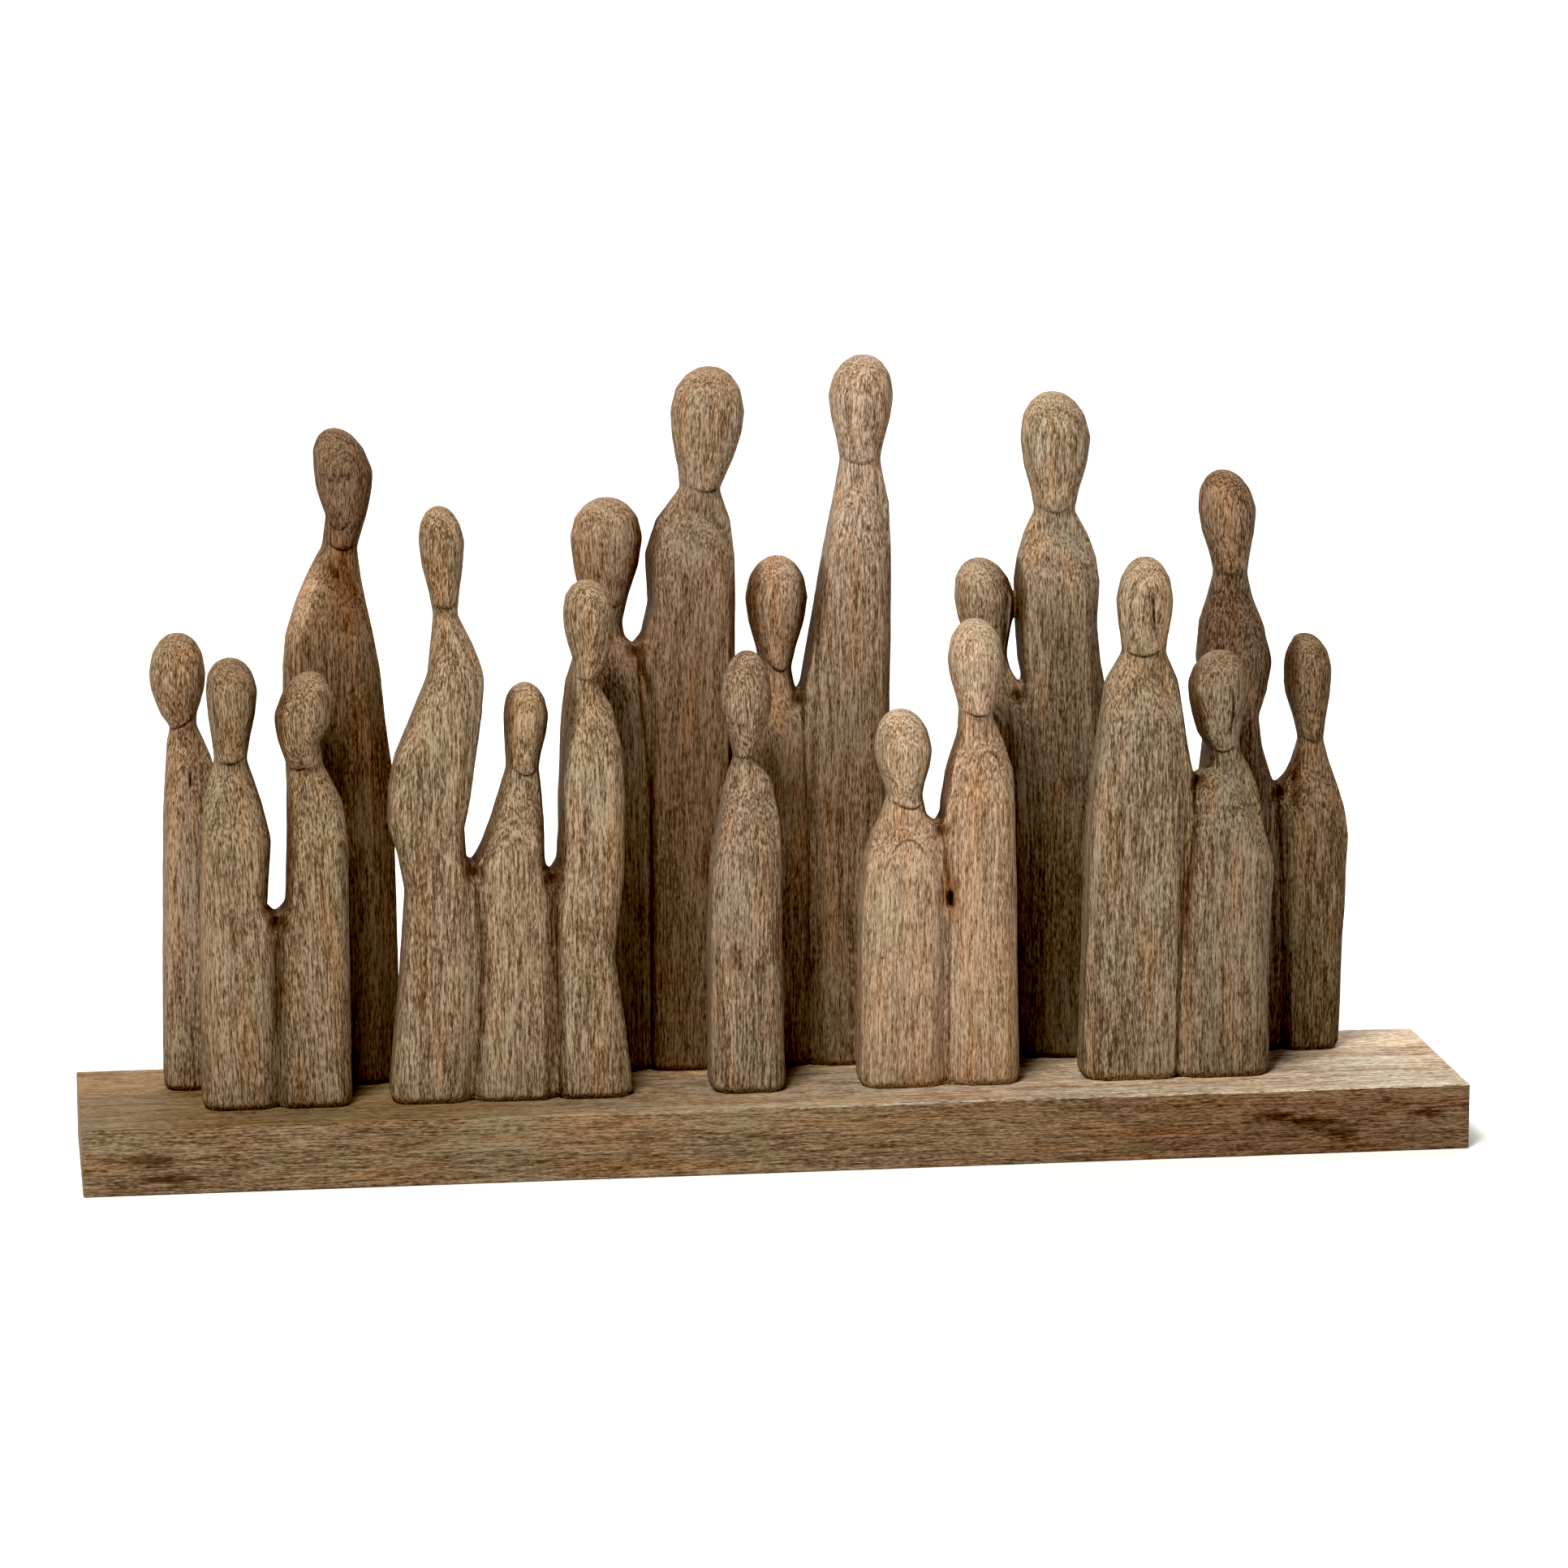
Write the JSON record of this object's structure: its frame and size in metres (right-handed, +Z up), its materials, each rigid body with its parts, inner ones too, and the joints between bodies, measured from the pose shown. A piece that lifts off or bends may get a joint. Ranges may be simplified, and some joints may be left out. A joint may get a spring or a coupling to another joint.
{
  "type": "carved wooden statuette of a group of figures",
  "caption": "Carved wooden group of plain standing figures with smooth egg-shaped heads, set in two rows on a long flat plank.",
  "frame": {"origin": "centre of the plank's underside", "axes": "+X along the plank to the right as seen from the front, -Y towards the viewer in front of the figures, +Z up"},
  "size_m": [0.62, 0.111, 0.3533],
  "materials": {
    "pale_wood": "bare, lightly waxed, matt",
    "brown_wood": "bare, lightly waxed, matt",
    "red_wood": "bare, lightly waxed, matt",
    "plank_wood": "bare, sanded flat, matt"
  },
  "bodies": {
    "root": {"plank": "plank_wood", "front_left_pair": "pale_wood", "front_trio": "pale_wood", "front_single": "pale_wood", "front_middle_pair": "pale_wood", "front_right_pair": "pale_wood", "back_left_single": "brown_wood", "back_tall_left": "red_wood", "back_quartet": "brown_wood", "back_inner_pair": "brown_wood", "back_outer_pair": "brown_wood"}
  },
  "joints": []
}
